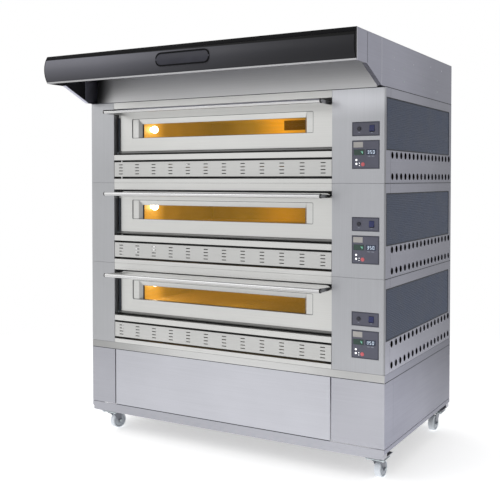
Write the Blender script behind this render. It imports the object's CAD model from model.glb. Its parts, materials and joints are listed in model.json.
"""Looks of the three-deck baking oven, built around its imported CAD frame."""
import json
import math

import bmesh
import bpy
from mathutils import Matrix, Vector


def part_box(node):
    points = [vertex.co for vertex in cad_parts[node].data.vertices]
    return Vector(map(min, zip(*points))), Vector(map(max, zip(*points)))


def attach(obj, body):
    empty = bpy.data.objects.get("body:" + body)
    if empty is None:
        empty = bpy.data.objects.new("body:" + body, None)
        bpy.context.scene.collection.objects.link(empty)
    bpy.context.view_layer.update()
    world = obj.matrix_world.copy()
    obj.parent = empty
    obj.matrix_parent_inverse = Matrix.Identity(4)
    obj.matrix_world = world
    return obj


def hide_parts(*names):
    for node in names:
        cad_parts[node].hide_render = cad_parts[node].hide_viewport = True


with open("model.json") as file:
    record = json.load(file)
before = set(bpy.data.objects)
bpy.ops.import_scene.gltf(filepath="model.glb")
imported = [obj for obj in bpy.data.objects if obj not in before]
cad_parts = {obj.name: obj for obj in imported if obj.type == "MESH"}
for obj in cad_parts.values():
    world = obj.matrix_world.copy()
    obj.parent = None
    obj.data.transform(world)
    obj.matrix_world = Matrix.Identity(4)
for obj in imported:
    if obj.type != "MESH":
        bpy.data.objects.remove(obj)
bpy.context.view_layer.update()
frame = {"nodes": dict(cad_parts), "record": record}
NODES = frame["nodes"]
DECKS = ("lower", "middle", "upper")
CASTORS = ("front_left", "front_right", "rear_left", "rear_right")
BODY_OF = {n: b for b, members in frame["record"]["behaviour"]["bodies"].items() for n in members}
ROOT = "oven_frame"
MM = 0.001
LOW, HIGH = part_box("stand_frame")
SIDES = ((LOW.x, -1.0), (HIGH.x, 1.0))
WHITE = (1.0, 1.0, 1.0, 1.0)
WELD = 1e-6
EDGE_ANGLE = math.radians(32.0)


# ------------------------------------------------------------------ camera, light and floor

SENSOR_MM = 36.0
LENS_MM = 58.9
LENS_SHIFT = -0.0976
CAMERA_TILT = 1.5
CAMERA_TURN = 29.84
FLOOR_RADIUS = 5.0
FLOOR_FADE = (1.3, 3.6)
FLOOR_GLOW = 0.5


def linked(name, data):
    obj = bpy.data.objects.new(name, data)
    bpy.context.scene.collection.objects.link(obj)
    return obj


def add_camera():
    """Long lens from the front right, almost level; the lens shift raises the oven in the frame."""
    data = bpy.data.cameras.new("camera")
    data.sensor_width = SENSOR_MM
    data.lens = LENS_MM
    data.shift_y = LENS_SHIFT
    cam = linked("camera", data)
    cam.location = (LOW.x + 2.860, LOW.y - 3.317, LOW.z + 1.210)
    cam.rotation_euler = (math.radians(90.0 - CAMERA_TILT), 0.0, math.radians(CAMERA_TURN))
    bpy.context.scene.camera = cam


def add_world():
    """White studio, dimmer on the right of the oven than in front of it and on its left."""
    world = bpy.data.worlds.new("studio")
    bpy.context.scene.world = world
    bpy.context.scene.view_settings.view_transform = "Standard"
    world.use_nodes = True
    tree = world.node_tree
    tree.nodes.clear()
    coord = add_node(tree, "TexCoord", {})
    split = add_node(tree, "SeparateXYZ", {"Vector": coord.outputs["Generated"]})
    dimmer = map_range(tree, split.outputs["X"], -0.15, 0.30, 1.0, 0.5, True)
    background = add_node(tree, "Background", {"Color": WHITE, "Strength": dimmer})
    add_node(tree, "OutputWorld", {"Surface": background.outputs[0]})


def add_area(name, place, target, size, power):
    """A rectangular light that looks at its target."""
    data = bpy.data.lights.new(name, "AREA")
    data.shape = "RECTANGLE"
    data.size, data.size_y = size
    data.energy = power
    lamp = linked(name, data)
    lamp.location = place
    aim = Vector(target) - Vector(place)
    lamp.rotation_euler = aim.to_track_quat("-Z", "Y").to_euler()


def add_floor():
    """A pale disc, softly lit from below, that fades into the white of the studio."""
    bm = bmesh.new()
    bmesh.ops.create_circle(bm, cap_ends=True, segments=96, radius=FLOOR_RADIUS)
    floor = new_object("floor", bm)
    mat, tree, shader = new_material("floor")
    away = add_node(tree, "VectorMath", {0: place_in_object(tree)}, operation="LENGTH")
    fade = map_range(tree, away.outputs["Value"], *FLOOR_FADE, 1.0, 0.0, True)
    feed(tree, shader, {"Base Color": (0.97, 0.97, 0.97, 1.0), "Roughness": 0.9, "Alpha": fade,
                        "Emission Color": WHITE, "Emission Strength": FLOOR_GLOW})
    floor.data.materials.append(mat)


# ------------------------------------------------------------------ mesh helpers

def new_object(name, bm):
    mesh = bpy.data.meshes.new(name)
    bm.to_mesh(mesh)
    bm.free()
    return linked(name, mesh)


def shade(bm):
    """Smooth faces, with sharp edges where the surface turns by more than the edge angle."""
    for f in bm.faces:
        f.smooth = True
    for e in bm.edges:
        if len(e.link_faces) == 2:
            e.smooth = e.calc_face_angle(0.0) < EDGE_ANGLE


def piece(name, bm, body, mat, bevel=0.0, segments=2, others=()):
    """A finished piece: shaded, bevelled, riding on its body and tied to its slot. The others are
    (material, test) pairs: a face whose centre passes the test takes that material."""
    shade(bm)
    for k, (_, test) in enumerate(others):
        for f in bm.faces:
            if test(f.calc_center_median()):
                f.material_index = k + 1
    obj = new_object(name, bm)
    for m in [mat] + [other for other, _ in others]:
        obj.data.materials.append(m)
    if bevel > 0:
        edges = obj.modifiers.new("edges", "BEVEL")
        edges.width = bevel
        edges.segments = segments
        edges.limit_method = "ANGLE"
        edges.angle_limit = EDGE_ANGLE
        edges.harden_normals = True
    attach(obj, body)
    return obj


def node_bmesh(node):
    """The CAD node's surface with its corners joined."""
    bm = bmesh.new()
    bm.from_mesh(NODES[node].data)
    bmesh.ops.remove_doubles(bm, verts=bm.verts, dist=WELD)
    return bm


def flat_faced(node):
    """The CAD node's surface with its triangles joined into whole flat faces."""
    bm = node_bmesh(node)
    bmesh.ops.dissolve_limit(bm, angle_limit=math.radians(0.5), verts=bm.verts, edges=bm.edges)
    return bm


def folded(node, mat, bevel=0.0007, segments=2, others=()):
    """A sheet-metal part with rounded edges, in place of the sharp-edged CAD node."""
    obj = piece(node + "_shell", flat_faced(node), BODY_OF[node], mat, bevel, segments,
                others)
    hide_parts(node)
    return obj


def paint(node, mat):
    """Keeps the CAD node's shape and gives it a finished material."""
    data = NODES[node].data
    data.materials.clear()
    data.materials.append(mat)
    for p in data.polygons:
        p.use_smooth = False


def groups(edges):
    """The sets of vertices that these edges tie together."""
    near = {}
    for e in edges:
        for v in e.verts:
            near.setdefault(v, []).append(e.other_vert(v))
    left, found = set(near), []
    while left:
        group, queue = set(), [left.pop()]
        while queue:
            v = queue.pop()
            group.add(v)
            for w in near[v]:
                if w in left:
                    left.discard(w)
                    queue.append(w)
        found.append(group)
    return found


def islands(node):
    """Lowest and highest corners of each separate solid in a CAD node."""
    bm = node_bmesh(node)
    found = []
    for group in groups(bm.edges):
        co = [v.co for v in group]
        found.append((Vector(min(c[i] for c in co) for i in range(3)),
                      Vector(max(c[i] for c in co) for i in range(3))))
    bm.free()
    return sorted(found, key=lambda b: tuple(round(x, 4) for x in b[0]))


def lathe(bm, profile, place, axis, steps):
    """Turns a closed (radius, height) profile about an axis through place."""
    rings = []
    for k in range(steps):
        a = 2 * math.pi * k / steps
        c, s = math.cos(a), math.sin(a)
        ring = []
        for r, h in profile:
            p = {"Z": (r * c, r * s, h), "Y": (r * c, h, -r * s), "X": (h, r * c, r * s)}[axis]
            ring.append(bm.verts.new(Vector(place) + Vector(p)))
        rings.append(ring)
    n = len(profile)
    for k in range(steps):
        a, b = rings[k], rings[(k + 1) % steps]
        for j in range(n):
            i = (j + 1) % n
            bm.faces.new((a[j], b[j], b[i], a[i]))
    bmesh.ops.remove_doubles(bm, verts=bm.verts, dist=1e-7)
    bmesh.ops.recalc_face_normals(bm, faces=bm.faces)


def turned(profile, out):
    """A lathe profile with its heights towards out, which is 1 or -1."""
    return [(r, out * h) for r, h in profile]


def outline(low, high, radius, steps=6):
    """Points round a rectangle with round corners, as (across, up) pairs."""
    radius = min(radius, (high[0] - low[0]) / 2 - 1e-6, (high[1] - low[1]) / 2 - 1e-6)
    corners = ((high[0] - radius, high[1] - radius, 0), (low[0] + radius, high[1] - radius, 90),
               (low[0] + radius, low[1] + radius, 180), (high[0] - radius, low[1] + radius, 270))
    points = []
    for cx, cz, start in corners:
        for k in range(steps + 1):
            a = math.radians(start + 90.0 * k / steps)
            points.append((cx + radius * math.cos(a), cz + radius * math.sin(a)))
    return points


def rounded_plate(bm, low, high, radius, steps=6):
    """A plate seen from the front: X and Z outline with round corners, Y from low to high."""
    points = outline((low[0], low[2]), (high[0], high[2]), radius, steps)
    front = [bm.verts.new((x, low[1], z)) for x, z in points]
    back = [bm.verts.new((x, high[1], z)) for x, z in points]
    bm.faces.new(front)
    bm.faces.new(back[::-1])
    n = len(points)
    for k in range(n):
        bm.faces.new((front[k], back[k], back[(k + 1) % n], front[(k + 1) % n]))
    bmesh.ops.recalc_face_normals(bm, faces=bm.faces)


def rounded_ring(bm, low, high, radius, width, depth, side=False):
    """A flat ring: the outline from low to high, width wide inwards, from depth[0] to depth[1]. It
    faces the front, or the right when side is true."""
    inner_low = (low[0] + width, low[1] + width)
    inner_high = (high[0] - width, high[1] - width)
    loops = []
    for a, b, r in ((low, high, radius), (inner_low, inner_high, max(radius - width, 0.0002))):
        points = outline(a, b, r)
        for d in depth:
            loops.append([bm.verts.new((d, u, v) if side else (u, d, v)) for u, v in points])
    n = len(loops[0])
    for first, second in ((0, 1), (1, 3), (3, 2), (2, 0)):
        for k in range(n):
            j = (k + 1) % n
            bm.faces.new((loops[first][k], loops[first][j], loops[second][j], loops[second][k]))
    bmesh.ops.recalc_face_normals(bm, faces=bm.faces)


# ------------------------------------------------------------------ materials

def feed(tree, node, values):
    """Sets a node's inputs, and links those whose value is another node's output."""
    for key, value in values.items():
        if isinstance(value, bpy.types.NodeSocket):
            tree.links.new(value, node.inputs[key])
        else:
            node.inputs[key].default_value = value


def add_node(tree, kind, values, **settings):
    """A shader node with its properties from settings and its inputs from values."""
    node = tree.nodes.new("ShaderNode" + kind)
    for key, value in settings.items():
        setattr(node, key, value)
    feed(tree, node, values)
    return node


def new_material(name):
    """A material with its node tree and its surface shader."""
    mat = bpy.data.materials.new(name)
    mat.use_nodes = True
    tree = mat.node_tree
    return mat, tree, tree.nodes["Principled BSDF"]


def place_in_object(tree):
    """The point's place in the object's own metres."""
    return add_node(tree, "TexCoord", {}).outputs["Object"]


def noise(tree, scale, detail=4.0, stretch=(1.0, 1.0, 1.0)):
    """Noise in the object's own metres, stretched along its axes; gives the factor output."""
    mapping = add_node(tree, "Mapping", {"Scale": stretch, "Vector": place_in_object(tree)})
    return add_node(tree, "TexNoise", {"Scale": scale, "Detail": detail,
                                       "Vector": mapping.outputs["Vector"]}).outputs["Fac"]


def map_range(tree, value, start, end, low, high, smooth=False):
    """Maps start to end onto low to high and holds the value beyond them."""
    kind = "SMOOTHSTEP" if smooth else "LINEAR"
    return add_node(tree, "MapRange", {"Value": value, "From Min": start, "From Max": end,
                                       "To Min": low, "To Max": high},
                    interpolation_type=kind).outputs["Result"]


def ranged(tree, value, low, high):
    """Maps a noise factor of about 0.3 to 0.7 onto low to high."""
    return map_range(tree, value, 0.3, 0.7, low, high)


def graded(tree, axis, start, end, low, high, smooth=True):
    """Changes from low to high between two places along an axis of the object."""
    split = add_node(tree, "SeparateXYZ", {"Vector": place_in_object(tree)})
    return map_range(tree, split.outputs[axis], start, end, low, high, smooth)


def mixed(tree, factor, first, second):
    """The first colour where the factor is 0, the second where it is 1."""
    return add_node(tree, "Mix", {"A": first, "B": second, "Factor": factor},
                    data_type="RGBA").outputs["Result"]


def tinted(tree, factor, dark, light):
    return mixed(tree, factor, (*dark, 1.0), (*light, 1.0))


def scaled(tree, colour, factor):
    node = add_node(tree, "VectorMath", {0: colour, "Scale": factor}, operation="SCALE")
    return node.outputs["Vector"]


def ramped(tree, value, stops):
    """Colour along a row of (place, colour) stops."""
    node = add_node(tree, "ValToRGB", {"Fac": value})
    ends = node.color_ramp.elements
    for end, (place, colour) in ((ends[0], stops[0]), (ends[1], stops[-1])):
        end.position = place
        end.color = (*colour, 1.0)
    for place, colour in stops[1:-1]:
        ends.new(place).color = (*colour, 1.0)
    return node.outputs["Color"]


def bumped(tree, shader, height, distance):
    bump = add_node(tree, "Bump", {"Distance": distance, "Strength": 1.0, "Height": height})
    tree.links.new(bump.outputs["Normal"], shader.inputs["Normal"])


def steel(name, colour, roughness, grain, fades=(), metallic=0.9, depth=0.00002):
    """Brushed sheet: long fine scratches along one axis, soft cloudy patches, faint colour drift.
    Each fade is (axis, start, end, low, high), as in graded."""
    mat, tree, shader = new_material(name)
    fine = noise(tree, 1.0, 3.0, grain)
    clouds = noise(tree, 2.2, 3.0, (1.0, 1.0, 1.6))
    half = add_node(tree, "Math", {0: clouds, 1: 0.5}, operation="MULTIPLY")
    both = add_node(tree, "Math", {0: fine, 1: 0.5, 2: half.outputs[0]},
                    operation="MULTIPLY_ADD").outputs[0]
    dark = tuple(c * 0.93 for c in colour)
    light = tuple(min(1.0, c * 1.07) for c in colour)
    tone = tinted(tree, ranged(tree, both, 0.0, 1.0), dark, light)
    for fade in fades:
        tone = scaled(tree, tone, graded(tree, *fade))
    feed(tree, shader, {"Base Color": tone, "Metallic": metallic,
                        "Roughness": ranged(tree, both, roughness + 0.05, roughness - 0.05)})
    bumped(tree, shader, fine, depth)
    return mat


def plastic(name, colour, roughness, texture=0.00003, coat=0.0, specular=0.5):
    """Moulded or lacquered surface with a fine texture and slight tone changes."""
    mat, tree, shader = new_material(name)
    broad = noise(tree, 12.0, 3.0)
    tone = tinted(tree, ranged(tree, broad, 0.0, 1.0), tuple(c * 0.9 for c in colour),
                  tuple(min(1.0, c * 1.1) for c in colour))
    feed(tree, shader, {"Base Color": tone, "Coat Weight": coat, "Coat Roughness": 0.08,
                        "Specular IOR Level": specular,
                        "Roughness": ranged(tree, broad, roughness - 0.04, roughness + 0.06)})
    bumped(tree, shader, noise(tree, 900.0, 2.0), texture)
    return mat


def glowing(name, colour, strength):
    """A lit surface with a slightly uneven brightness."""
    mat, tree, shader = new_material(name)
    uneven = ranged(tree, noise(tree, 60.0, 2.0), 0.0, 1.0)
    feed(tree, shader, {"Base Color": (*colour, 1.0), "Roughness": 0.4, "Emission Strength": strength,
                        "Emission Color": tinted(tree, uneven, tuple(c * 0.85 for c in colour), colour)})
    return mat


def glass(name, colour):
    """A clear pane with a faint uneven film; the low IOR keeps the room from hiding the chamber."""
    mat, tree, shader = new_material(name)
    feed(tree, shader, {"Base Color": (*colour, 1.0), "Transmission Weight": 1.0, "IOR": 1.08,
                        "Roughness": ranged(tree, noise(tree, 40.0, 3.0), 0.0, 0.04)})
    return mat


# ------------------------------------------------------------------ chamber materials

LAMP_STEPS = ((0.0, (0.80, 0.38, 0.05)), (0.06, (0.70, 0.34, 0.045)), (0.13, (0.28, 0.150, 0.020)),
              (0.4, (0.20, 0.115, 0.016)), (0.6, (0.16, 0.095, 0.013)), (1.0, (0.13, 0.08, 0.012)))
LAMP_REACH = 1.0
PATCH_STEPS = ((0.0, (0.76, 0.30, 0.01)), (0.18, (0.56, 0.22, 0.008)), (0.5, (0.14, 0.075, 0.006)),
               (1.0, (0.0, 0.0, 0.0)))
PATCH_X = 0.49
PATCH_REACH = 0.42
PATCH_BELOW = 0.4
VENT_DIM = 0.16
WALL_SKIN = 0.0085
MOUTH_T = 0.004


def falling_light(tree, x, y, reach, steps):
    """Brightness that falls with the distance, seen from above, from a place at x, y."""
    flat = add_node(tree, "Mapping", {"Location": (-x / reach, -y / reach, 0.0),
                                      "Scale": (1.0 / reach, 1.0 / reach, 0.0),
                                      "Vector": place_in_object(tree)})
    away = add_node(tree, "VectorMath", {0: flat.outputs["Vector"]}, operation="LENGTH")
    return ramped(tree, away.outputs["Value"], steps)


def within(tree, low, high):
    """1 inside a box of the lower deck and inside its copies in the decks above, else 0."""
    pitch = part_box("middle_chamber")[0].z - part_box("lower_chamber")[0].z
    split = add_node(tree, "SeparateXYZ", {"Vector": place_in_object(tree)})
    deck = add_node(tree, "Math", {0: split.outputs["Z"], 1: low.z + pitch, 2: low.z}, operation="WRAP")
    places = (split.outputs["X"], split.outputs["Y"], deck.outputs[0])
    result = None
    for place, middle, half in zip(places, (low + high) / 2, (high - low) / 2):
        near = add_node(tree, "Math", {0: place, 1: middle, 2: half}, operation="COMPARE").outputs[0]
        if result is not None:
            near = add_node(tree, "Math", {0: result, 1: near}, operation="MULTIPLY").outputs[0]
        result = near
    return result


def chamber_space():
    """The lower chamber's space with the inner skin of its walls, from the mouth backwards."""
    wall_low, wall_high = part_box("lower_chamber")
    low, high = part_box("baking_stones")
    skin = Vector((WALL_SKIN, WALL_SKIN, 0.0))
    low, high = low - skin, high + skin
    low.z = wall_low.z + 0.001
    high.z = wall_high.z - 0.001
    low.y = wall_low.y + MOUTH_T
    return low, high


def amber(tree):
    """Light of the lamp on a chamber's walls and stone: strong beside the lamp at the left, and a
    patch at the back that is strongest in the upper deck."""
    lamp_low, lamp_high = islands("oven_lamps")[0]
    low, high = chamber_space()
    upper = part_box("upper_chamber")[0].z
    near = falling_light(tree, lamp_low.x, (lamp_low.y + lamp_high.y) / 2, LAMP_REACH, LAMP_STEPS)
    patch = falling_light(tree, low.x + PATCH_X, high.y, PATCH_REACH, PATCH_STEPS)
    patch = scaled(tree, patch, graded(tree, "Z", upper - 0.01, upper, PATCH_BELOW, 1.0))
    total = add_node(tree, "VectorMath", {0: near, 1: patch}, operation="ADD")
    return scaled(tree, total.outputs["Vector"], within(tree, low, high))


def chamber_metal():
    """Heat-tinted steel lit by the lamp; the vent plate on the back wall is dimmer, and the mouth
    plates and the walls' outer faces are dark."""
    mat, tree, shader = new_material("chamber_steel")
    low, high = chamber_space()
    patches = noise(tree, 7.0, 4.0)
    warm = tinted(tree, ranged(tree, patches, 0.0, 1.0), (0.24, 0.17, 0.05), (0.40, 0.29, 0.09))
    tone = mixed(tree, within(tree, low, high), (0.055, 0.056, 0.06, 1.0), warm)
    glow = scaled(tree, amber(tree), ranged(tree, noise(tree, 1.0, 3.0, (4.0, 4.0, 90.0)), 0.9, 1.1))
    at_back = [b for b in islands("lower_chamber") if b[0].y > high.y - 0.012]
    vent_low, vent_high = min(at_back, key=lambda b: b[1].x - b[0].x)
    vent_low -= Vector((0.0005, 0.001, 0.0005))
    vent_high.y = high.y
    vent = map_range(tree, within(tree, vent_low, vent_high), 0.0, 1.0, 1.0, VENT_DIM)
    feed(tree, shader, {"Base Color": scaled(tree, tone, vent), "Metallic": 0.3,
                        "Roughness": ranged(tree, patches, 0.35, 0.6),
                        "Emission Color": scaled(tree, glow, vent), "Emission Strength": 0.85})
    bumped(tree, shader, noise(tree, 1.0, 3.0, (4.0, 300.0, 300.0)), 0.00003)
    return mat


def baking_stone():
    """Rough fired clay under the amber light of the chamber."""
    mat, tree, shader = new_material("baking_stone")
    grain = noise(tree, 160.0, 6.0)
    clay = tinted(tree, ranged(tree, grain, 0.0, 1.0), (0.34, 0.24, 0.13), (0.62, 0.47, 0.28))
    glow = scaled(tree, amber(tree), ranged(tree, grain, 0.8, 1.15))
    feed(tree, shader, {"Base Color": clay, "Roughness": 0.92, "Emission Color": glow,
                        "Emission Strength": 0.75})
    bumped(tree, shader, grain, 0.0004)
    return mat


# ------------------------------------------------------------------ other materials

FASCIA_TOP = ((0.0, 0.192), (0.2, 0.192), (0.3, 0.164), (0.54, 0.090), (0.72, 0.056), (0.84, 0.037),
              (1.0, 0.026))
FASCIA_BOTTOM = ((0.0, 0.056), (0.3, 0.046), (0.54, 0.030), (0.72, 0.022), (0.84, 0.019), (1.0, 0.014))
FASCIA_BLUE = 1.16
FASCIA_WEDGE = 0.13


def fascia_film():
    """Dark satin film, lighter towards its top and its left end, with a black wedge under its upper
    edge that grows towards the right."""
    mat, tree, shader = new_material("fascia_film")
    low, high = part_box("hood_fascia")
    across = graded(tree, "X", low.x, high.x, 0.0, 1.0, False)
    up = graded(tree, "Z", low.z, high.z, 0.0, 1.0, False)
    top, bottom = (ramped(tree, across, [(place, (tone, tone, tone * FASCIA_BLUE)) for place, tone in stops])
                   for stops in (FASCIA_TOP, FASCIA_BOTTOM))
    wedge = add_node(tree, "Math", {0: across, 1: FASCIA_WEDGE, 2: up}, operation="MULTIPLY_ADD")
    edge = map_range(tree, wedge.outputs[0], 0.99, 1.01, 1.0, 0.05)
    feed(tree, shader, {"Base Color": scaled(tree, mixed(tree, up, bottom, top), edge),
                        "Roughness": ranged(tree, noise(tree, 9.0, 2.0), 0.30, 0.38),
                        "Specular IOR Level": 0.16})
    bumped(tree, shader, noise(tree, 1.0, 2.0, (2.0, 300.0, 300.0)), 0.00001)
    return mat


def wool():
    """Grey-brown rock wool."""
    mat, tree, shader = new_material("mineral_wool")
    fibres = noise(tree, 220.0, 8.0, (1.0, 0.2, 1.0))
    tone = tinted(tree, ranged(tree, fibres, 0.0, 1.0), (0.012, 0.012, 0.012), (0.05, 0.048, 0.042))
    feed(tree, shader, {"Base Color": tone, "Roughness": 1.0, "Specular IOR Level": 0.1})
    bumped(tree, shader, fibres, 0.002)
    return mat


def circuit():
    """Green lacquer with a grid of copper tracks."""
    mat, tree, shader = new_material("circuit_board")
    tracks = add_node(tree, "TexBrick", {"Scale": 90.0, "Mortar Size": 0.01,
                                         "Color1": (0.02, 0.13, 0.06, 1.0),
                                         "Color2": (0.03, 0.18, 0.08, 1.0),
                                         "Mortar": (0.30, 0.24, 0.08, 1.0),
                                         "Vector": place_in_object(tree)})
    feed(tree, shader, {"Base Color": tracks.outputs["Color"], "Roughness": 0.4})
    return mat


ALONG_X = (3.0, 700.0, 700.0)
ALONG_Y = (700.0, 3.0, 700.0)
ALONG_Z = (700.0, 700.0, 3.0)
SPECKLED = (60.0, 60.0, 60.0)
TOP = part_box("upper_casing")[1].z
SIDE_FADE = ("Y", LOW.y + 0.05, HIGH.y, 1.0, 0.74)
LOW_FADE = ("Y", LOW.y + 0.05, HIGH.y, 1.0, 0.64)
INNER_LOW, INNER_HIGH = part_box("hood_inner_panel")
PRINT = 0.00001

MAT = {
    "front_steel": steel("front_steel", (0.61, 0.61, 0.597), 0.34, ALONG_X),
    "pillar_steel": steel("pillar_steel", (0.40, 0.405, 0.42), 0.36, ALONG_Z),
    "vent_steel": steel("vent_steel", (0.53, 0.53, 0.52), 0.34, ALONG_X),
    "column_steel": steel("column_steel", (0.42, 0.426, 0.448), 0.36, ALONG_Z,
                          (("Z", TOP - 0.14, TOP - 0.03, 1.0, 1.55),)),
    "stand_steel": steel("stand_steel", (0.425, 0.428, 0.467), 0.38, ALONG_X,
                         (("X", LOW.x, HIGH.x, 0.88, 1.06),)),
    "panel_steel": steel("panel_steel", (0.495, 0.50, 0.54), 0.38, ALONG_X,
                         (("X", LOW.x, LOW.x + 0.9, 0.92, 1.06),)),
    "strip_steel": steel("strip_steel", (0.585, 0.585, 0.58), 0.34, ALONG_X,
                         (("X", LOW.x, LOW.x + 0.7, 0.58, 1.0),
                          ("X", HIGH.x - 0.5, HIGH.x - 0.15, 1.0, 0.80))),
    "handle_steel": steel("handle_steel", (0.56, 0.56, 0.56), 0.28, ALONG_X, metallic=1.0),
    "side_steel": steel("side_steel", (0.47, 0.475, 0.55), 0.38, ALONG_Y, (SIDE_FADE,)),
    "lilac_steel": steel("lilac_steel", (0.335, 0.34, 0.415), 0.40, ALONG_Y, (LOW_FADE,)),
    "hood_steel": steel("hood_steel", (0.49, 0.495, 0.585), 0.38, ALONG_Y, (SIDE_FADE,)),
    "lip_steel": steel("lip_steel", (0.42, 0.42, 0.43), 0.40, ALONG_X),
    "flange_steel": steel("flange_steel", (0.17, 0.17, 0.20), 0.40, ALONG_Y),
    "dark_steel": steel("dark_steel", (0.05, 0.05, 0.056), 0.45, ALONG_Y),
    "bright_steel": steel("bright_steel", (0.80, 0.80, 0.86), 0.30, ALONG_Z),
    "inner_steel": steel("inner_steel", (0.70, 0.70, 0.705), 0.40, ALONG_X,
                         (("Z", INNER_LOW.z, INNER_HIGH.z, 0.95, 0.92),
                          ("X", INNER_LOW.x + 0.01, INNER_LOW.x + 0.12, 0.06, 1.0))),
    "raw_steel": steel("raw_steel", (0.34, 0.34, 0.35), 0.45, (40.0, 40.0, 40.0), depth=0.0001),
    "zinc": steel("zinc", (0.55, 0.60, 0.62), 0.32, SPECKLED, metallic=0.95, depth=0.00005),
    "guard_zinc": steel("guard_zinc", (0.42, 0.45, 0.49), 0.42, SPECKLED, metallic=0.7, depth=0.00005),
    "fork_steel": steel("fork_steel", (0.24, 0.25, 0.28), 0.38, SPECKLED, metallic=0.8, depth=0.00005),
    "slate_paint": plastic("slate_paint", (0.064, 0.084, 0.138), 0.5),
    "dark_edge": plastic("dark_edge", (0.018, 0.024, 0.034), 0.5),
    "white_nylon": plastic("white_nylon", (0.74, 0.78, 0.83), 0.42),
    "control_film": plastic("control_film", (0.088, 0.09, 0.125), 0.45),
    "film_border": plastic("film_border", (0.045, 0.047, 0.070), 0.45),
    "black_plastic": plastic("black_plastic", (0.014, 0.014, 0.026), 0.35),
    "blue_plastic": plastic("blue_plastic", (0.012, 0.018, 0.10), 0.25),
    "red_plastic": plastic("red_plastic", (0.62, 0.12, 0.14), 0.3),
    "dim_print": plastic("dim_print", (0.26, 0.28, 0.34), 0.5, PRINT),
    "blank_label": plastic("blank_label", (0.40, 0.385, 0.37), 0.55, PRINT),
    "black_trim": plastic("black_trim", (0.004, 0.004, 0.005), 0.4, PRINT, specular=0.06),
    "badge_film": plastic("badge_film", (0.034, 0.034, 0.046), 0.35, PRINT, specular=0.2),
    "fascia_film": fascia_film(),
    "rubber": plastic("rubber", (0.008, 0.008, 0.009), 0.6),
    "display": plastic("display", (0.012, 0.022, 0.055), 0.16, PRINT, coat=0.3),
    "green_display": plastic("green_display", (0.008, 0.040, 0.028), 0.16, PRINT, coat=0.3),
    "digits": glowing("digits", (0.72, 0.84, 1.0), 0.9),
    "green_digits": glowing("green_digits", (0.35, 0.95, 0.70), 0.7),
    "white_light": glowing("white_light", (1.0, 1.0, 1.0), 1.0),
    "lamp_glass": glowing("lamp_glass", (1.0, 0.93, 0.74), 6.0),
    "pane": glass("pane", (0.97, 0.96, 0.93)),
    "chamber_steel": chamber_metal(),
    "stone": baking_stone(),
    "mineral_wool": wool(),
    "circuit_board": circuit(),
}


# ------------------------------------------------------------------ steel shells

def front_parts():
    """Tests for the pillar, the rails and the control column of a deck front, by their place in X."""
    vent_low, vent_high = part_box("vent_panels")
    return ((MAT["front_steel"], lambda c: vent_low.x - 0.001 < c.x < vent_high.x + 0.001),
            (MAT["column_steel"], lambda c: c.x > vent_high.x + 0.001))


SKIN = 0.0008


def on_side(c):
    """True for a face centre on the oven's outer left or right face."""
    return abs(c.x) > HIGH.x - 0.0005


def inside_skin(c):
    """True for a face centre that lies inside the outer side and back faces."""
    return abs(c.x) < HIGH.x - SKIN and c.y < HIGH.y - SKIN


def build_shells():
    """Every sheet and moulded part that shows, with rounded edges and its finish."""
    side = ((MAT["side_steel"], on_side),)
    lilac_side = ((MAT["lilac_steel"], on_side),)
    strip_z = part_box("stand_front_panel")[1].z
    for d in DECKS:
        folded(d + "_front_panels", MAT["pillar_steel"], others=front_parts() + side)
        folded(d + "_casing", MAT["side_steel"], 0.0004, others=((MAT["dark_steel"], inside_skin),))
        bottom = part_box(d + "_door")[0].z
        shaded_bottom = (("Z", bottom + 0.013, bottom + 0.018, 0.25, 1.0),)
        folded(d + "_door", steel(d + "_door_steel", (0.61, 0.61, 0.595), 0.33, ALONG_X, shaded_bottom))
        folded(d + "_door_handle", MAT["handle_steel"], 0.0012, 3)
        folded(d + "_control_plates", MAT["control_film"], 0.0005)
        folded(d + "_light_button", MAT["black_plastic"], 0.0012, 3)
        folded(d + "_power_rocker", MAT["blue_plastic"], 0.001, 3)
        paint(d + "_chamber", MAT["chamber_steel"])
        paint(d + "_door_glass", MAT["pane"])
    folded("vent_panels", MAT["vent_steel"])
    folded("stand_frame", MAT["stand_steel"], others=(
        (MAT["strip_steel"], lambda c: c.z > strip_z and c.y < LOW.y + 0.001),) + lilac_side)
    folded("stand_front_panel", MAT["panel_steel"])
    folded("stand_corner_covers", MAT["stand_steel"], others=lilac_side)
    folded("stand_side_panels", MAT["lilac_steel"])
    folded("stand_back_panel", MAT["side_steel"])
    folded("hood_inner_panel", MAT["inner_steel"])
    for n in ("hood_body", "flue_collar"):
        folded(n, MAT["hood_steel"])
    lip_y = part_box("hood_fascia")[1].y + 0.006
    folded("hood_cheeks", MAT["hood_steel"], others=(
        (MAT["lip_steel"], lambda c: c.y < lip_y and abs(c.x) < HIGH.x - 0.003),
        (MAT["dark_steel"], lambda c: HIGH.x - 0.003 < abs(c.x) < HIGH.x - SKIN),
        (MAT["flange_steel"], lambda c: 0.5 < c.x < HIGH.x - SKIN)))
    folded("side_grilles", MAT["slate_paint"], 0.0004)
    folded("hood_fascia", MAT["fascia_film"], 0.0006)
    lip_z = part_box("hood_fascia")[0].z + 0.012
    trim_low, trim_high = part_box("hood_fascia_trim")
    folded("hood_fascia_trim", MAT["black_trim"], 0.0006, others=(
        (MAT["front_steel"], lambda c: c.z < lip_z and trim_low.x + 0.004 < c.x < trim_high.x - 0.004),))
    folded("hood_badge", MAT["badge_film"], 0.0005)
    folded("castor_plates", MAT["zinc"], 0.0006)
    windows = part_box("display_windows")
    middle = (windows[0].x + windows[1].x) / 2
    folded("display_windows", MAT["display"], 0.0005,
           others=((MAT["green_display"], lambda c: c.x < middle),))
    for c in CASTORS:
        folded(c + "_fork", MAT["fork_steel"], 0.0008, 3)
        folded(c + "_wheel", MAT["white_nylon"], 0.001, 3)


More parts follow.
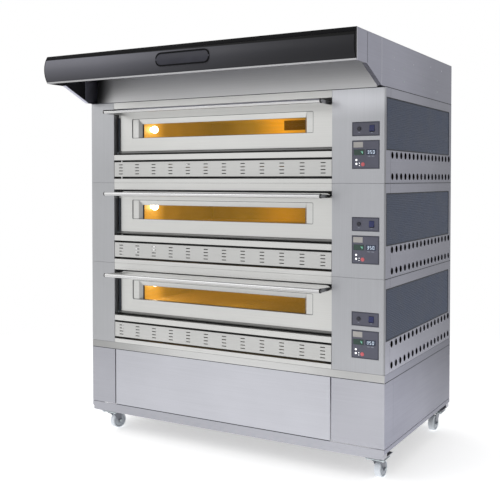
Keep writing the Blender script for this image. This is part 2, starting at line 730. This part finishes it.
def build_inside():
    """Finishes of the parts behind the skins, in their CAD shapes."""
    paint("baking_stones", MAT["stone"])
    paint("insulation", MAT["mineral_wool"])
    paint("oven_lamps", MAT["lamp_glass"])
    for n in ("burner_tubes", "gas_manifold"):
        paint(n, MAT["raw_steel"])
    for n in ("temperature_probes", "door_hinge_pins"):
        paint(n, MAT["zinc"])
    paint("control_boards", MAT["circuit_board"])


def build_screws():
    """Domed heads with a cross recess in place of the plain CAD discs."""
    bm = bmesh.new()
    for low, high in islands("casing_screws"):
        size = high - low
        axis = min(range(3), key=lambda i: size[i])
        centre = (low + high) / 2
        out = 1.0 if centre[axis] > 0 else -1.0
        place = centre.copy()
        place[axis] = low[axis] if out > 0 else high[axis]
        r, h = max(size) / 2, size[axis]
        dome = [(0.0, 0.0), (r, 0.0), (r, 0.25 * h), (0.85 * r, 0.7 * h), (0.5 * r, 0.95 * h),
                (0.2 * r, h), (0.18 * r, 0.55 * h), (0.0, 0.5 * h)]
        lathe(bm, turned(dome, out), place, "XYZ"[axis], 20)
    obj = piece("casing_screw_heads", bm, ROOT, MAT["zinc"])
    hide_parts("casing_screws")


# ------------------------------------------------------------------ side details

def round_holes(node, side_x):
    """Centres and radii of the round holes in a node's outer side face."""
    bm = node_bmesh(node)
    on_face = {v for v in bm.verts if abs(v.co.x - side_x) < 1e-5}
    arcs = [e for e in bm.edges if e.verts[0] in on_face and e.verts[1] in on_face
            and e.calc_length() < 0.004]
    holes = []
    for group in groups(arcs):
        ys = [v.co.y for v in group]
        zs = [v.co.z for v in group]
        radius = (max(zs) - min(zs)) / 2
        if len(group) > 12 and 0.008 < radius < 0.03:
            holes.append(((min(ys) + max(ys)) / 2, (min(zs) + max(zs)) / 2, radius))
    bm.free()
    return sorted(holes)


def build_hole_rims():
    """A rolled rim round every hole in the right and left sides."""
    for d in DECKS:
        low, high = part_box(d + "_casing")
        bm = bmesh.new()
        for side_x, out in ((high.x, 1.0), (low.x, -1.0)):
            for y, z, r in round_holes(d + "_casing", side_x):
                rim = [(r - 0.0012, -0.001), (r - 0.0012, 0.0004), (r - 0.0004, 0.0009),
                       (r + 0.0008, 0.0009), (r + 0.0022, 0.0), (r + 0.0022, -0.001)]
                lathe(bm, turned(rim, out), (side_x, y, z), "X", 28)
        piece(d + "_hole_rims", bm, ROOT, MAT["side_steel"])


def build_grille_frames():
    """A narrow dark bead round each side grille."""
    bm = bmesh.new()
    for low, high in islands("side_grilles"):
        if high.z - low.z > 0.1:
            rounded_ring(bm, (low.y, low.z), (high.y, high.z), 0.002, 0.0045,
                         (high.x - 0.002, HIGH.x + 0.0006), True)
    piece("grille_frames", bm, ROOT, MAT["dark_edge"])


# ------------------------------------------------------------------ door details

def build_handle_caps():
    """Black caps on the tube's two ends, each with a steel disc let into it."""
    for d in DECKS:
        low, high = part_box(d + "_door_handle")
        r = 9.5 * MM
        centre = (low.y + r, high.z - r)
        caps, discs = bmesh.new(), bmesh.new()
        for end, out in ((low.x, -1.0), (high.x, 1.0)):
            place = (end, *centre)
            cap = [(r - 1.0 * MM, -5.0 * MM), (r + 0.25 * MM, -5.0 * MM), (r + 0.25 * MM, 0.4 * MM),
                   (r - 0.8 * MM, 1.4 * MM), (0.0, 1.4 * MM), (0.0, 0.1 * MM), (r - 1.0 * MM, 0.1 * MM)]
            lathe(caps, turned(cap, out), place, "X", 32)
            face = [(0.0, 1.3 * MM), (5.8 * MM, 1.3 * MM), (5.6 * MM, 1.9 * MM), (0.0, 2.2 * MM)]
            lathe(discs, turned(face, out), place, "X", 32)
        piece(d + "_handle_caps", caps, d + "_door_leaf", MAT["rubber"])
        piece(d + "_handle_cap_discs", discs, d + "_door_leaf", MAT["handle_steel"])


def build_window_trim():
    """A dark seam round the window's outline, and on the outer pane a thin black rim with a broader
    band at its left end."""
    for d in DECKS:
        glass_low, glass_high = islands(d + "_door_glass")[0]
        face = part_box(d + "_door")[0].y
        lap = 9 * MM
        bm = bmesh.new()
        rounded_ring(bm, (glass_low.x + lap, glass_low.z + lap), (glass_high.x - lap, glass_high.z - lap),
                     0.001, 0.0006, (glass_low.y - 0.00018, glass_low.y - 0.00004))
        rounded_plate(bm, (glass_low.x + lap, glass_low.y - 0.00018, glass_low.z + lap),
                      (glass_low.x + lap + 0.0095, glass_low.y - 0.00004, glass_high.z - lap), 0.0003, 2)
        piece(d + "_glass_border", bm, d + "_door_leaf", MAT["rubber"])
        seam = bmesh.new()
        outline_low = (glass_low.x + lap - 0.053, glass_low.z + lap)
        outline_high = (glass_high.x - lap + 0.048, glass_high.z - lap + 0.026)
        rounded_ring(seam, outline_low, outline_high, 0.006, 0.0018, (face + 0.0022, face + 0.0031))
        piece(d + "_window_seam", seam, d + "_door_leaf", MAT["dark_edge"])


def build_door_levers():
    """A dark lever strip down the left end of each door's face."""
    for d in DECKS:
        low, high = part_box(d + "_door")
        bm = bmesh.new()
        rounded_plate(bm, (low.x + 0.001, low.y - 0.0012, low.z + 0.016),
                      (low.x + 0.013, low.y + 0.0004, high.z - 0.034), 0.004)
        piece(d + "_door_lever", bm, d + "_door_leaf", MAT["dark_edge"])


# ------------------------------------------------------------------ seams

def side_plate(bm, x, out, low, high, radius, proud=0.0005):
    """A thin plate on a side face at x, between two (y, z) corners."""
    first = len(bm.verts)
    rounded_plate(bm, (low[0], -0.001, low[1]), (high[0], proud, high[1]), radius, 2)
    bm.verts.ensure_lookup_table()
    for v in bm.verts[first:]:
        v.co = Vector((x + out * v.co.y, v.co.x, v.co.z))


def build_seams():
    """Dark sealing beads in the seams between the decks, the hood and the stand."""
    bm = bmesh.new()
    panel_low, panel_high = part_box("stand_front_panel")
    strip_z = panel_high.z
    levels = [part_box(d + "_casing")[0].z for d in ("middle", "upper")] + [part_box("hood_body")[0].z]
    beads = [(z - 0.0020, z + 0.0012) for z in levels] + [(strip_z - 0.0005, strip_z + 0.0025)]
    for x, out in SIDES:
        for bottom, top in beads:
            side_plate(bm, x, out, (LOW.y + 0.002, bottom), (HIGH.y - 0.002, top), 0.0005)
    left, right = LOW.x + 0.002, HIGH.x - 0.002
    for start, end, bottom, top in (
            (left, right, levels[-1] - 0.0028, levels[-1] - 0.0002),
            (left, right, strip_z - 0.0004, strip_z + 0.0022),
            (panel_low.x, panel_high.x, panel_low.z - 0.0025, panel_low.z + 0.0012)):
        rounded_plate(bm, (start, LOW.y - 0.0004, bottom), (end, LOW.y + 0.001, top), 0.0008)
    piece("seam_beads", bm, ROOT, MAT["dark_edge"])


# ------------------------------------------------------------------ hood details

REAR_SEAM_Y = LOW.y - 0.050
FRONT_SEAM_Y = LOW.y - 0.211
RIVETS = ((0.10, 0.135), (0.10, 0.082), (0.36, 0.135), (0.62, 0.155), (0.80, 0.155))


def build_hood_sides():
    """Down the hood's sides: a bright bead at the rear seam and one behind the fascia, a faint front
    seam, and small rivets at (back, up) places."""
    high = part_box("hood_cheeks")[1]
    body_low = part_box("hood_body")[0]
    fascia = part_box("hood_fascia")
    front, base = fascia[1].y, fascia[0].z - 0.006
    bright, faint, rivets = bmesh.new(), bmesh.new(), bmesh.new()
    rivet = [(0.0, 0.0014), (0.002, 0.0012), (0.0035, 0.0), (0.0035, -0.0008)]
    for x, out in SIDES:
        side_plate(bright, x, out, (REAR_SEAM_Y - 0.0025, body_low.z + 0.004),
                   (REAR_SEAM_Y + 0.0015, high.z - 0.002), 0.0006)
        side_plate(bright, x, out, (front + 0.001, base), (front + 0.007, high.z - 0.001), 0.0006)
        side_plate(faint, x, out, (FRONT_SEAM_Y - 0.001, base + 0.002),
                   (FRONT_SEAM_Y + 0.001, high.z - 0.002), 0.0005)
        for y, z in RIVETS:
            lathe(rivets, turned(rivet, out), (x, LOW.y + y, body_low.z + z), "X", 16)
    piece("hood_side_edges", bright, ROOT, MAT["bright_steel"])
    piece("hood_side_seams", faint, ROOT, MAT["flange_steel"])
    piece("hood_rivets", rivets, ROOT, MAT["bright_steel"])


def build_badge_rim():
    """Black rim round the blank badge."""
    low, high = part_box("hood_badge")
    bm = bmesh.new()
    rounded_ring(bm, (low.x, low.z), (high.x, high.z), (high.z - low.z) * 0.45, 0.006,
                 (low.y + 0.0001, low.y + 0.004))
    piece("hood_badge_rim", bm, ROOT, MAT["black_trim"])


# ------------------------------------------------------------------ control details

SEGMENTS = {"0": "abcdef", "1": "bc", "2": "abged", "3": "abgcd", "4": "fgbc", "5": "afgcd",
            "6": "afgedc", "7": "abc", "8": "abcdefg", "9": "abcdfg"}


def add_digit(bm, x, z, w, h, y, digit):
    """One seven-segment digit of width w and height h, its lower left corner at x, z."""
    t = 0.14 * w
    g = 0.25 * t
    bars = {"a": (t, h - t, w - t, h), "g": (t, (h - t) / 2, w - t, (h + t) / 2), "d": (t, 0, w - t, t),
            "f": (0, h / 2 + g, t, h - g), "b": (w - t, h / 2 + g, w, h - g),
            "e": (0, g, t, h / 2 - g), "c": (w - t, g, w, h / 2 - g)}
    for s in SEGMENTS[digit]:
        x0, z0, x1, z1 = bars[s]
        rounded_plate(bm, (x + x0, y - 0.3 * MM, z + z0), (x + x1, y + 0.1 * MM, z + z1), 0.3 * t, 2)


def build_displays():
    """Numbers on the small and the large window of each deck, and two marks under the large one."""
    windows = islands("display_windows")
    middle = sum(b[0].x for b in windows) / len(windows)
    digits, small, marks = bmesh.new(), bmesh.new(), bmesh.new()
    for low, high in windows:
        w, h = high.x - low.x, high.z - low.z
        if low.x > middle:
            dw, dh, step = 7.5 * MM, 13.5 * MM, 12.5 * MM
            for k, digit in enumerate("350"):
                add_digit(digits, low.x + 6 * MM + k * step, low.z + (h - dh) / 2, dw, dh, low.y, digit)
            for k in (0, 1):
                x = low.x + (7 + 18 * k) * MM
                rounded_plate(marks, (x, low.y + 0.2 * MM, low.z - 8 * MM),
                              (x + 13 * MM, low.y + 0.6 * MM, low.z - 5 * MM), 1.4 * MM, 3)
        else:
            add_digit(small, low.x + w * 0.72, low.z + h * 0.25, 6 * MM, 11 * MM, low.y, "4")
    piece("display_digits", digits, ROOT, MAT["digits"])
    piece("small_display_digits", small, ROOT, MAT["green_digits"])
    piece("display_marks", marks, ROOT, MAT["dim_print"])


def build_control_details():
    """Borders, blank label, lights, dots, a round key and small marks on each deck's plates."""
    for d in DECKS:
        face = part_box(d + "_control_plates")[0].y
        plates = islands(d + "_control_plates")
        border = bmesh.new()
        for low, high in plates:
            rounded_ring(border, (low.x + 0.0008, low.z + 0.0008), (high.x - 0.0008, high.z - 0.0008),
                         0.003, 0.0035, (face - 0.0002, face + 0.0002))
        low = min((b[0] for b in plates), key=lambda v: v.z)
        label, lights, marks, key = bmesh.new(), bmesh.new(), bmesh.new(), bmesh.new()
        x, z = low.x, low.z
        rounded_plate(label, (x + 6 * MM, face - 0.3 * MM, z + 92 * MM),
                      (x + 50 * MM, face + 0.2 * MM, z + 116 * MM), 1.0 * MM, 3)
        for dz in (38.0, 21.0):
            lathe(lights, disc(4.2 * MM, 1.2 * MM), (x + 20 * MM, face, z + dz * MM), "Y", 24)
        for dz in (24.0, 14.0):
            lathe(lights, disc(1.8 * MM, 0.6 * MM), (x + 34 * MM, face, z + dz * MM), "Y", 16)
        lathe(key, disc(8.5 * MM, 1.6 * MM), (x + 50 * MM, face, z + 19 * MM), "Y", 36)
        for node in ("_light_button", "_power_rocker"):
            blow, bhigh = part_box(d + node)
            cx, bottom = (blow.x + bhigh.x) / 2, blow.z - 6 * MM
            rounded_plate(marks, (cx - 4 * MM, face - 0.2 * MM, bottom - 1.2 * MM),
                          (cx + 4 * MM, face + 0.1 * MM, bottom + 1.2 * MM), 0.8 * MM, 3)
        piece(d + "_plate_borders", border, ROOT, MAT["film_border"])
        piece(d + "_blank_label", label, ROOT, MAT["blank_label"])
        piece(d + "_status_lights", lights, ROOT, MAT["white_light"])
        piece(d + "_panel_marks", marks, ROOT, MAT["dim_print"])
        piece(d + "_round_key", key, ROOT, MAT["red_plastic"])


def disc(r, proud):
    """Profile of a shallow domed button that stands proud of a plate towards the front."""
    return [(0.0, 0.3 * MM), (r, 0.3 * MM), (r, -0.5 * proud), (0.8 * r, -0.85 * proud), (0.0, -proud)]


# ------------------------------------------------------------------ castor details

def build_castor_details():
    """Hexagonal axle heads on the forks, and a thread guard ring on each side of the wheels."""
    joints = {j["child"]: j for j in frame["record"]["behaviour"]["joints"]}
    for c in CASTORS:
        wheel_body, fork_body = BODY_OF[c + "_wheel"], BODY_OF[c + "_fork"]
        low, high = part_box(c + "_wheel")
        centre = (low + high) / 2
        axis = Vector(joints[wheel_body]["axis"]).normalized()
        turn = Vector((1.0, 0.0, 0.0)).rotation_difference(axis).to_matrix()
        radius = (high.z - low.z) / 2
        verts = [turn.transposed() @ (v.co - centre) for v in NODES[c + "_wheel"].data.vertices]
        half = max(abs(v.x) for v in verts if v.yz.length > 0.7 * radius)
        fork = [turn.transposed() @ (v.co - centre) for v in NODES[c + "_fork"].data.vertices]
        outer = max(abs(v.x) for v in fork if v.yz.length < 0.4 * radius)
        hubs, heads = bmesh.new(), bmesh.new()
        for out in (-1.0, 1.0):
            guard = [(0.30 * radius, half - 0.0005), (0.70 * radius, half - 0.0005),
                     (0.66 * radius, half + 0.0008), (0.34 * radius, half + 0.0008)]
            lathe(hubs, turned(guard, out), (0.0, 0.0, 0.0), "X", 36)
            head = [(0.0, outer - 0.0005), (0.0075, outer - 0.0005), (0.0075, outer + 0.003),
                    (0.0065, outer + 0.0042), (0.0, outer + 0.0046)]
            lathe(heads, turned(head, out), (0.0, 0.0, 0.0), "X", 6)
        for bm in (hubs, heads):
            for v in bm.verts:
                v.co = turn @ v.co + centre
        piece(c + "_thread_guards", hubs, wheel_body, MAT["guard_zinc"])
        piece(c + "_axle_heads", heads, fork_body, MAT["zinc"], 0.0004, 2)


# ------------------------------------------------------------------ build

def chamber_lights():
    """Warm light beside the lamp at the left and over the back at the right, out of the camera's
    sight."""
    for d in DECKS:
        low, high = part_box(d + "_chamber")
        lamp_low, lamp_high = [b for b in islands("oven_lamps") if low.z < b[0].z < high.z][0]
        for name, x, power in (("left", lamp_high.x + 0.06, 0.25), ("right", high.x - 0.64, 0.2)):
            data = bpy.data.lights.new(d + "_" + name, "POINT")
            data.energy = power
            data.color = (1.0, 0.66, 0.14)
            data.shadow_soft_size = 0.03
            lamp = linked(data.name, data)
            lamp.location = (x, lamp_low.y + 0.02, lamp_high.z + 0.01)
            lamp.visible_camera = False
            lamp.visible_glossy = False
            lamp.visible_transmission = False


add_camera()
add_world()
add_floor()
add_area("key", place=(-2.6, -3.6, 3.4), target=(0.0, 0.0, 1.0), size=(2.5, 2.0), power=25.0)
build_shells()
build_inside()
build_screws()
build_hole_rims()
build_grille_frames()
build_handle_caps()
build_window_trim()
build_door_levers()
build_seams()
build_hood_sides()
build_badge_rim()
build_displays()
build_control_details()
build_castor_details()
chamber_lights()
